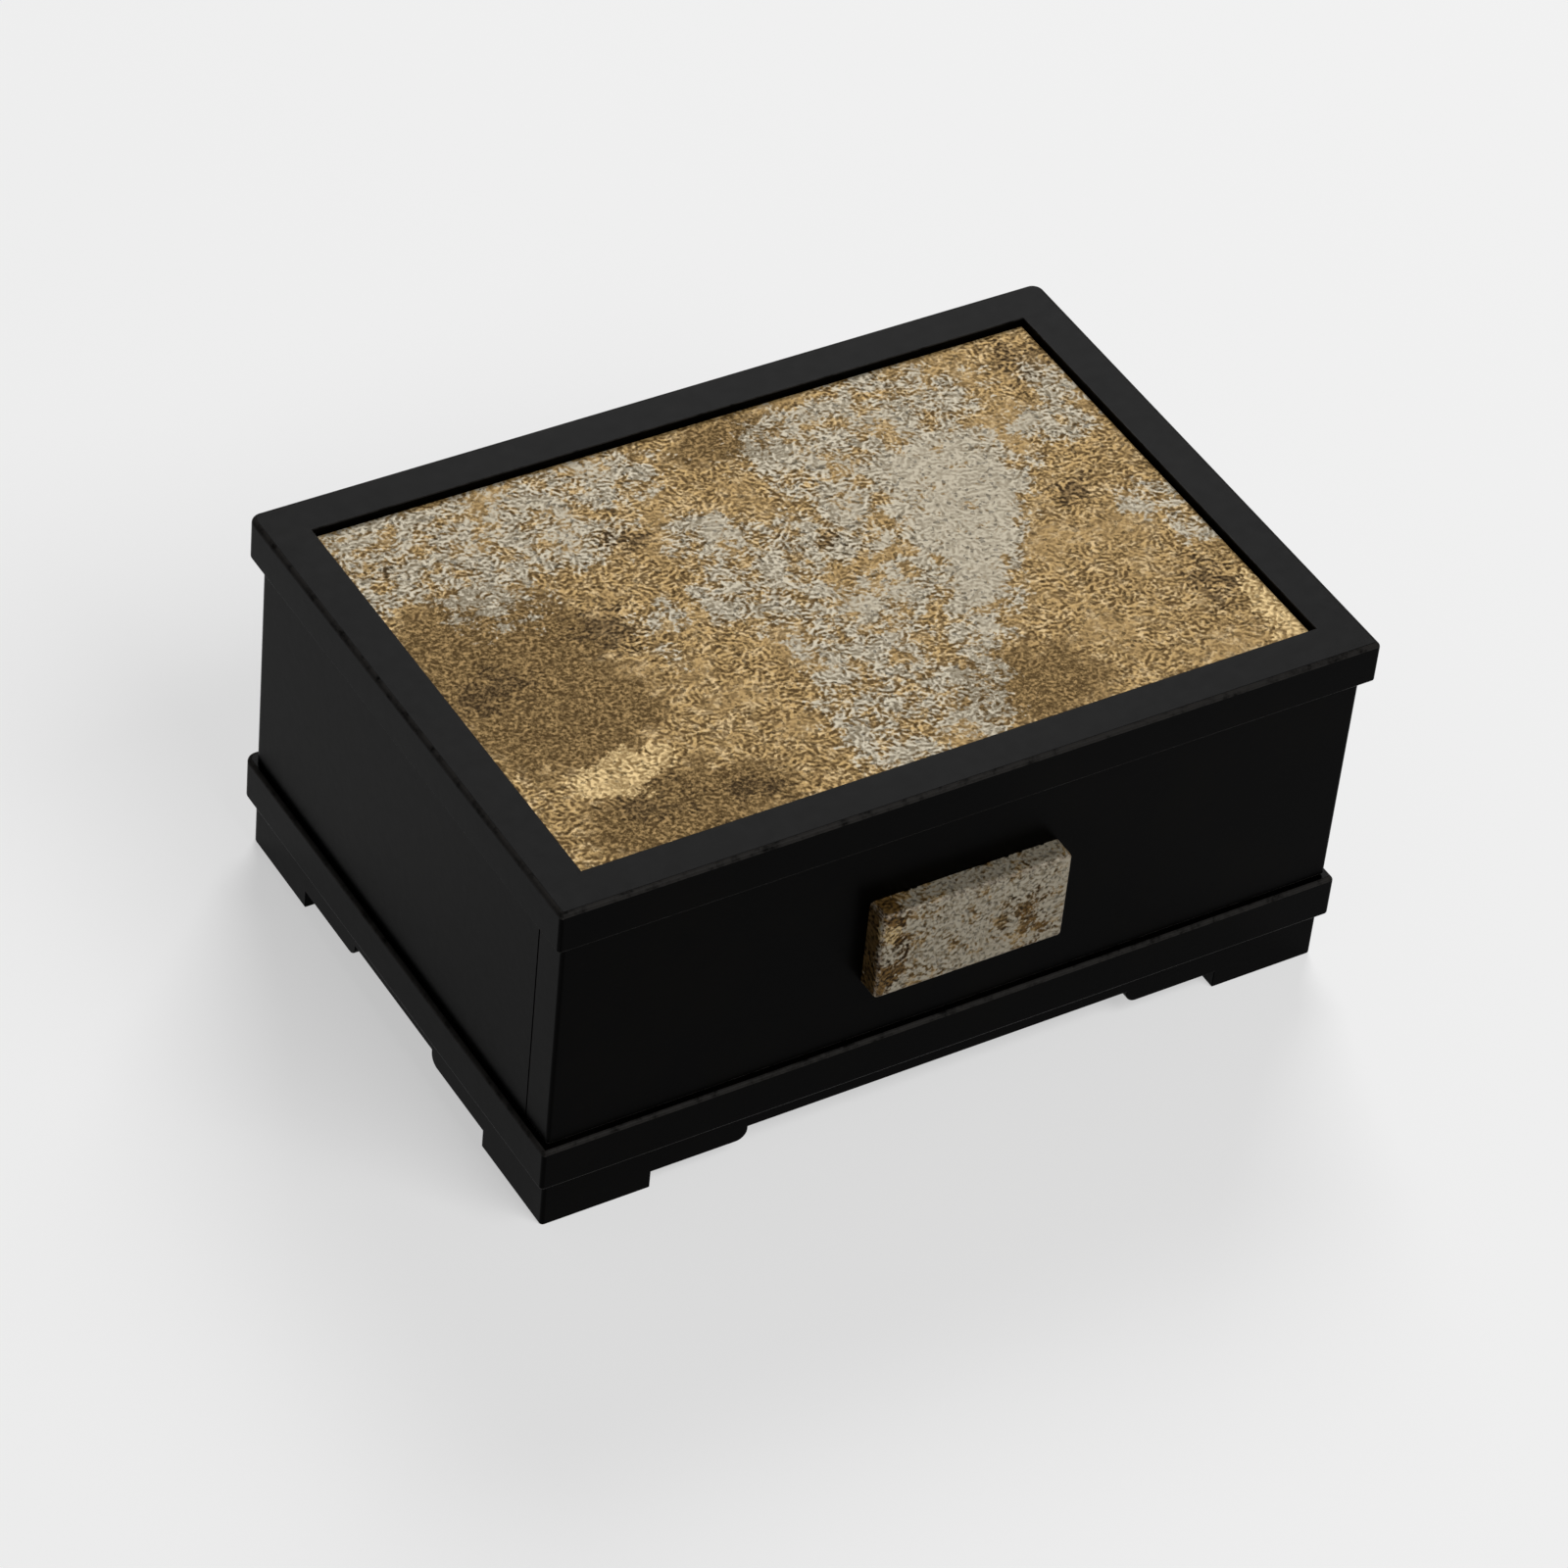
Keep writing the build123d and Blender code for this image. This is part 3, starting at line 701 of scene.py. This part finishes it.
def screws():
    """Tree of a pair of countersunk wood screws that point along -Y, their heads' faces at Y = 0."""
    shape = Shape(
        "wood screws", Length=0.012, Diameter=0.003, Head=0.006, Countersink=0.0018, Point=0.0015,
        Pitch=0.0011, Thread=0.0004, Spacing=0.02)
    inputs = {"Size X": 1.0, "Size Y": 1.0, "Vertices X": 25, "Vertices Y": 90}
    grid = shape.node("GeometryNodeMeshGrid", {}, inputs)
    place = shape.position()
    turn = shape.axis(place, "X") + 0.5
    shank, head = shape["Diameter"] * 0.5, shape["Head"] * 0.5
    run = (shape.axis(place, "Y") + 0.5) * (shape["Length"] + head)
    depth = (run - head).highest(0.0)
    cone = head - depth * (head - shank) / shape["Countersink"]
    tip = (shape["Length"] - depth) * shank / shape["Point"]
    wave = (depth / shape["Pitch"] + turn).math("FRACT", depth / shape["Pitch"] + turn)
    root = shape["Thread"] * abs(wave - 0.5) * 2.0 * (depth - shape["Countersink"]).above(0.3 * MM)
    radius = run.lowest(cone.highest(shank - root).lowest(tip.highest(0.0)))
    angle = turn * (2.0 * math.pi)
    round_place = shape.join(
        radius * angle.math("COSINE", angle), depth * -1.0, radius * angle.math("SINE", angle))
    screw = shape.move(grid, True, position=round_place)
    screw = shape.node("GeometryNodeMergeByDistance", {}, {"Geometry": screw, "Distance": ROUND_WELD})
    cross = []
    for long, short in ((0.62, 0.16), (0.16, 0.62)):
        size = shape.join(shape["Head"] * long, shape["Countersink"], shape["Head"] * short)
        cross.append(shape.node("GeometryNodeMeshCube", {}, {"Size": size}))
    inputs = {"Mesh 1": screw, "Mesh 2": cross}
    screw = shape.node("GeometryNodeMeshBoolean", {"operation": "DIFFERENCE"}, inputs)
    start = shape.join(shape["Spacing"] * -0.5, 0.0, 0.0)
    step = shape.join(shape["Spacing"], 0.0, 0.0)
    points = shape.node("GeometryNodeMeshLine", {}, {"Count": 2, "Start Location": start, "Offset": step})
    shape.close(shape.node("GeometryNodeInstanceOnPoints", {}, {"Points": points, "Instance": screw}))
    return shape


def shift(piece, x, y, z):
    """Moves a piece's mesh, and leaves its object at the origin."""
    piece.data.transform(Matrix.Translation((x, y, z)))


# Settings

def colour(name, description, default):
    """A colour that the user may change."""
    return bpy.props.FloatVectorProperty(
        name=name, description=description, default=default, min=0.0, max=1.0, subtype="COLOR", size=3)


class LacquerSettings(bpy.types.PropertyGroup):
    black: colour("Lacquer", "Colour of the lacquer", BLACK)
    # The lighter colour of the level edges: partly wear, partly a painted highlight
    rubbed: colour("Rubbed_and_highlighted edges", "Colour of the lacquer where it is rubbed along the edges", RUBBED_AND_HIGHLIGHT)
    gloss: bpy.props.FloatProperty(
        name="Gloss", description="Refractive index of the lacquer", default=1.08, min=1.0)
    roughness: bpy.props.FloatProperty(
        name="Roughness", description="How satin the lacquer is", default=0.30, min=0.0, max=1.0)
    ripple: bpy.props.FloatProperty(
        name="Ripple", description="Depth of the ripple in the lacquer",
        default=0.012 * MM, subtype="DISTANCE", unit="LENGTH", precision=6)
    edge: bpy.props.FloatProperty(
        name="Edge", description="Width that the edges are eased by",
        default=0.22 * MM, subtype="DISTANCE", unit="LENGTH", precision=5)


class LeatherSettings(bpy.types.PropertyGroup):
    silver: colour("Silver", "Colour of the silver foil on the ridges", SILVER_FOIL[1])
    gold: colour("Gold", "Colour of the gold foil on the ridges", GOLD_FOIL[1])
    tan: colour("Tan", "Colour of the tan foil on the ridges", TAN_FOIL[1])
    brown: colour("Brown", "Colour of the brown foil on the ridges", BROWN_FOIL[1])
    skin_colour: colour("Worn leather", "Colour of the leather where the foil is rubbed off", WORN_SKIN)
    relief: bpy.props.FloatProperty(
        name="Relief", description="Depth of the strokes pressed into the leather",
        default=0.10 * MM, subtype="DISTANCE", unit="LENGTH", precision=5)
    grain: bpy.props.FloatProperty(
        name="Grain", description="Depth of the finer grain on the strokes",
        default=0.11 * MM, subtype="DISTANCE", unit="LENGTH", precision=5)
    shine: bpy.props.FloatProperty(
        name="Shine", description="How much the foil's clear layer reflects",
        default=0.04, min=0.0, max=1.0)
    spacing: bpy.props.FloatProperty(
        name="Spacing", description="Between the points of the embossed surface",
        default=0.45 * MM, subtype="DISTANCE", unit="LENGTH", precision=5)
    radius: bpy.props.FloatProperty(
        name="Radius", description="Of the pull's arrises",
        default=1.0 * MM, subtype="DISTANCE", unit="LENGTH", precision=5)
    skin: bpy.props.FloatProperty(
        name="Skin", description="Thickness of the cover on the pull",
        default=0.75 * MM, subtype="DISTANCE", unit="LENGTH", precision=5)


class LiningSettings(bpy.types.PropertyGroup):
    pale_wood: colour("Pale wood", "Colour of the bare wood between its rings", PALE_WOOD)
    dark_wood: colour("Dark wood", "Colour of the bare wood on its rings", DARK_WOOD)
    velvet: colour("Velvet", "Colour of the drawer's lining", VELVET)
    felt: colour("Felt", "Colour of the tapes and the pads", FELT)


class ScrewSettings(bpy.types.PropertyGroup):
    zinc: colour("Plating", "Colour of the plated steel", ZINC)
    pitch: bpy.props.FloatProperty(
        name="Pitch", description="From one turn of the thread to the next",
        default=1.1 * MM, subtype="DISTANCE", unit="LENGTH", precision=5)
    thread: bpy.props.FloatProperty(
        name="Thread", description="Depth of the thread",
        default=0.4 * MM, subtype="DISTANCE", unit="LENGTH", precision=5)


class StageSettings(bpy.types.PropertyGroup):
    floor: colour("Floor", "Colour of the floor", FLOOR)
    azimuth: bpy.props.FloatProperty(
        name="Azimuth", description="Where the camera stands round the chest",
        default=math.radians(-34.346), subtype="ANGLE", unit="ROTATION")
    elevation: bpy.props.FloatProperty(
        name="Elevation", description="How far the camera looks down",
        default=math.radians(41.384), subtype="ANGLE", unit="ROTATION")
    roll: bpy.props.FloatProperty(
        name="Roll", description="How far the camera is turned about its own axis",
        default=math.radians(6.136), subtype="ANGLE", unit="ROTATION")
    distance: bpy.props.FloatProperty(
        name="Distance", description="From the camera to the chest",
        default=1.2082, subtype="DISTANCE", unit="LENGTH")
    lens: bpy.props.FloatProperty(
        name="Lens", description="Focal length for a 36 mm sensor, in millimetres", default=145.3)


# Operators

class CHEST_OT_lacquer(bpy.types.Operator):
    """Lacquer the boards of the case and the drawer front"""
    bl_idname = "chest.lacquer"
    bl_label = "Lacquered boards"

    def execute(self, context):
        settings = context.scene.chest_lacquer
        lacquer = black_lacquer(settings)
        eased_boards(CASE_BOARDS, "lacquered_", lacquer, CASE, "black_lacquer", settings.edge)
        eased_boards(DRAWER_BOARDS, "lacquered_", lacquer, DRAWER, "black_lacquer", settings.edge)
        return {"FINISHED"}


class CHEST_OT_inlay(bpy.types.Operator):
    """Lay the embossed sheet in the top"""
    bl_idname = "chest.inlay"
    bl_label = "Inlay of the top"

    def execute(self, context):
        settings = context.scene.chest_leather
        low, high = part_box("top_inlay")
        size = high - low
        places = (SILVER_PLACES, PALE_PLACES, BROWN_PLACES, UMBER_PLACES)
        leather = foil_leather("foil_leather", settings, places, sides=SILVER_WEDGE)
        sheet = covered_sheet().grow(
            "embossed_inlay", leather, Length=size.x, Width=size.y, Thickness=size.z,
            Spacing=settings.spacing, Relief=settings.relief, Roll=0.5 * MM)
        face_outwards(sheet)
        shift(sheet, (low.x + high.x) / 2, (low.y + high.y) / 2, high.z)
        stand_for(sheet, CASE, "foil_leather", "top_inlay")
        return {"FINISHED"}


class CHEST_OT_pull(bpy.types.Operator):
    """Fold the embossed skin round the pull"""
    bl_idname = "chest.pull"
    bl_label = "Pull"

    def execute(self, context):
        settings = context.scene.chest_leather
        low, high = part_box("pull_cover")
        size = high - low
        places = (PULL_SILVER_PLACES, PULL_PALE_PLACES, PULL_BROWN_PLACES, PULL_UMBER_PLACES)
        leather = foil_leather("foil_leather_pull", settings, places, worn=True)
        cover = folded_cover().grow(
            "folded_pull_cover", leather, Width=size.x, Depth=size.y, Height=size.z,
            Spacing=settings.spacing * 0.8, Radius=settings.radius, Skin=settings.skin,
            Relief=settings.relief)
        face_outwards(cover)
        shift(cover, *((low + high) / 2))
        stand_for(cover, DRAWER, "foil_leather", "pull_cover")
        return {"FINISHED"}


class CHEST_OT_drawer_box(bpy.types.Operator):
    """Plane the boards of the drawer box and the hidden blocks"""
    bl_idname = "chest.drawer_box"
    bl_label = "Bare wood"

    def execute(self, context):
        settings = context.scene.chest_linings
        wood = bare_wood("bare_wood", settings, "X")
        eased_boards(LONG_BOARDS, "planed_", wood, DRAWER, "bare_wood", 0.2 * MM)
        side_wood = bare_wood("bare_wood_sides", settings, "Y")
        eased_boards(DEEP_BOARDS, "planed_", side_wood, DRAWER, "bare_wood", 0.2 * MM)
        eased_boards(("corner_blocks",), "planed_", wood, CASE, "bare_wood", 0.3 * MM)
        dress(("base_dowels", "pull_block"), wood)
        return {"FINISHED"}


class CHEST_OT_linings(bpy.types.Operator):
    """Line the drawer with velvet, and lay the felt"""
    bl_idname = "chest.linings"
    bl_label = "Velvet and felt"

    def execute(self, context):
        settings = context.scene.chest_linings
        velvet = pile("velvet", settings.velvet, 0.08)
        felt = pile("felt", settings.felt, 0.05)
        low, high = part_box("lining_floor")
        size = high - low
        mat = covered_sheet().grow(
            "velvet_mat", velvet, Length=size.x, Width=size.y, Thickness=size.z,
            Spacing=1.0 * MM, Relief=0.12 * MM, Roll=0.8 * MM)
        face_outwards(mat)
        shift(mat, (low.x + high.x) / 2, (low.y + high.y) / 2, high.z)
        stand_for(mat, DRAWER, "velvet", "lining_floor")
        eased_boards(("lining_walls",), "velvet_", velvet, DRAWER, "velvet", 0.3 * MM, 3)
        eased_boards(("glide_strips", "foot_pads"), "felt_", felt, CASE, "felt", 0.25 * MM, 3)
        return {"FINISHED"}


class CHEST_OT_screws(bpy.types.Operator):
    """Cut the threads and the crosses of the screws"""
    bl_idname = "chest.screws"
    bl_label = "Screws"

    def execute(self, context):
        settings = context.scene.chest_screws
        steel = plated_steel(settings)
        tree = screws()
        for node in ("pull_screws", "front_screws"):
            low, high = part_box(node)
            head = high.z - low.z
            pair = tree.grow(
                "threaded_" + node, steel, Length=high.y - low.y, Head=head, Spacing=high.x - low.x - head,
                Pitch=settings.pitch, Thread=settings.thread)
            face_outwards(pair)
            shift(pair, (low.x + high.x) / 2, high.y, (low.z + high.z) / 2)
            stand_for(pair, DRAWER, "screw_steel", node)
        return {"FINISHED"}


class CHEST_OT_stage(bpy.types.Operator):
    """Set up the floor, the light and the camera"""
    bl_idname = "chest.stage"
    bl_label = "Studio"

    def execute(self, context):
        make_floor(context.scene.chest_stage.floor)
        make_world(context.scene)
        make_lamps()
        make_camera(context.scene)
        context.scene.view_settings.view_transform = "Standard"
        return {"FINISHED"}


def make_floor(tint):
    """A plain floor that the camera, mirrors and glass see a share whiter, with the chest's shadow kept."""
    reach = 12.0
    corners = [(-reach, -reach, 0), (reach, -reach, 0), (reach, reach, 0), (-reach, reach, 0)]
    data = bpy.data.meshes.new("floor")
    data.from_pydata(corners, [], [(0, 1, 2, 3)])
    finish = Finish("floor", Roughness=1.0, Specular_IOR_Level=0.0)
    finish.surface.inputs["Base Color"].default_value = opaque(tint)
    camera, mirror, glass = [
        finish.node("ShaderNodeLightPath", {}, {}, ray)
        for ray in ("Is Camera Ray", "Is Glossy Ray", "Is Transmission Ray")
    ]
    white = finish.node("ShaderNodeEmission", {}, {"Strength": 1.0}, "Emission")
    plain = Socket(finish, finish.surface.outputs[0])
    seen = camera.highest(mirror).highest(glass)
    inputs = {"Fac": seen * WHITENING, "Shader": plain, "Shader_001": white}
    mixed = finish.node("ShaderNodeMixShader", {}, inputs)
    finish.tree.links.new(mixed.output, finish.tree.nodes["Material Output"].inputs["Surface"])
    data.materials.append(finish.material)
    floor = bpy.data.objects.new("floor", data)
    bpy.context.scene.collection.objects.link(floor)


def make_world(scene):
    world = bpy.data.worlds.new("studio")
    world.use_nodes = True
    scene.world = world
    sky = world.node_tree.nodes["Background"]
    sky.inputs["Color"].default_value = (1.0, 1.0, 1.0, 1.0)
    sky.inputs["Strength"].default_value = 0.12


def add_softbox(name, azimuth, elevation, distance, width, height, radiance):
    """A soft lamp that faces the chest. Azimuth counts from the back towards the right, in degrees."""
    a, e = math.radians(azimuth), math.radians(elevation)
    way = Vector((math.sin(a) * math.cos(e), math.cos(a) * math.cos(e), math.sin(e)))
    light = bpy.data.lights.new(name, "AREA")
    light.shape = "RECTANGLE"
    light.size = width
    light.size_y = height
    light.energy = radiance * width * height * math.pi
    lamp = bpy.data.objects.new(name, light)
    lamp.location = way * distance + Vector((0.0, 0.0, 0.04))
    lamp.rotation_euler = (-way).to_track_quat("-Z", "Y").to_euler()
    bpy.context.scene.collection.objects.link(lamp)


def make_lamps():
    """A key from the front on the right, and a wall behind the chest for its top to mirror."""
    add_softbox("key", azimuth=162, elevation=48, distance=3.0, width=1.8, height=1.8, radiance=4.6)
    add_softbox("wall", azimuth=34, elevation=41, distance=3.0, width=1.3, height=1.3, radiance=8.5)


def make_camera(scene):
    """Stands at the picture's place: round, up, turned, and aimed a little past the chest's middle."""
    settings = scene.chest_stage
    a, e, roll = settings.azimuth, settings.elevation, settings.roll
    back = Vector((math.sin(a) * math.cos(e), -math.cos(a) * math.cos(e), math.sin(e)))
    level = Vector((math.cos(a), math.sin(a), 0.0))
    upright = back.cross(level)
    right = level * math.cos(roll) + upright * math.sin(roll)
    up = upright * math.cos(roll) - level * math.sin(roll)
    camera = bpy.data.cameras.new("camera")
    camera.lens = settings.lens
    camera.sensor_width = 36.0
    camera.clip_start = 0.01
    stand = bpy.data.objects.new("camera", camera)
    place = Vector(AIM) + back * settings.distance - right * AIM_LEFT - up * AIM_DOWN
    stand.matrix_world = Matrix.Translation(place) @ Matrix((right, up, back)).transposed().to_4x4()
    scene.collection.objects.link(stand)
    scene.camera = stand


class CHEST_PT_panel(bpy.types.Panel):
    """The steps that finish the chest, in their order"""
    bl_idname = "CHEST_PT_panel"
    bl_label = "Lacquered chest"
    bl_space_type = "VIEW_3D"
    bl_region_type = "UI"
    bl_category = "Chest"

    def draw(self, context):
        for step in STEPS:
            self.layout.operator(step.bl_idname)


SETTINGS = {
    "chest_lacquer": LacquerSettings,
    "chest_leather": LeatherSettings,
    "chest_linings": LiningSettings,
    "chest_screws": ScrewSettings,
    "chest_stage": StageSettings,
}
STEPS = (
    CHEST_OT_lacquer, CHEST_OT_inlay, CHEST_OT_pull, CHEST_OT_drawer_box, CHEST_OT_linings,
    CHEST_OT_screws, CHEST_OT_stage,
)


def register():
    for name, group in SETTINGS.items():
        bpy.utils.register_class(group)
        setattr(bpy.types.Scene, name, bpy.props.PointerProperty(type=group))
    for step in (*STEPS, CHEST_PT_panel):
        bpy.utils.register_class(step)


def unregister():
    for step in (CHEST_PT_panel, *reversed(STEPS)):
        bpy.utils.unregister_class(step)
    for name, group in reversed(SETTINGS.items()):
        delattr(bpy.types.Scene, name)
        bpy.utils.unregister_class(group)


def main():
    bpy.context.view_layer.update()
    register()
    for step in STEPS:
        group, operator = step.bl_idname.split(".")
        getattr(getattr(bpy.ops, group), operator)()


if __name__ == "__main__":
    main()
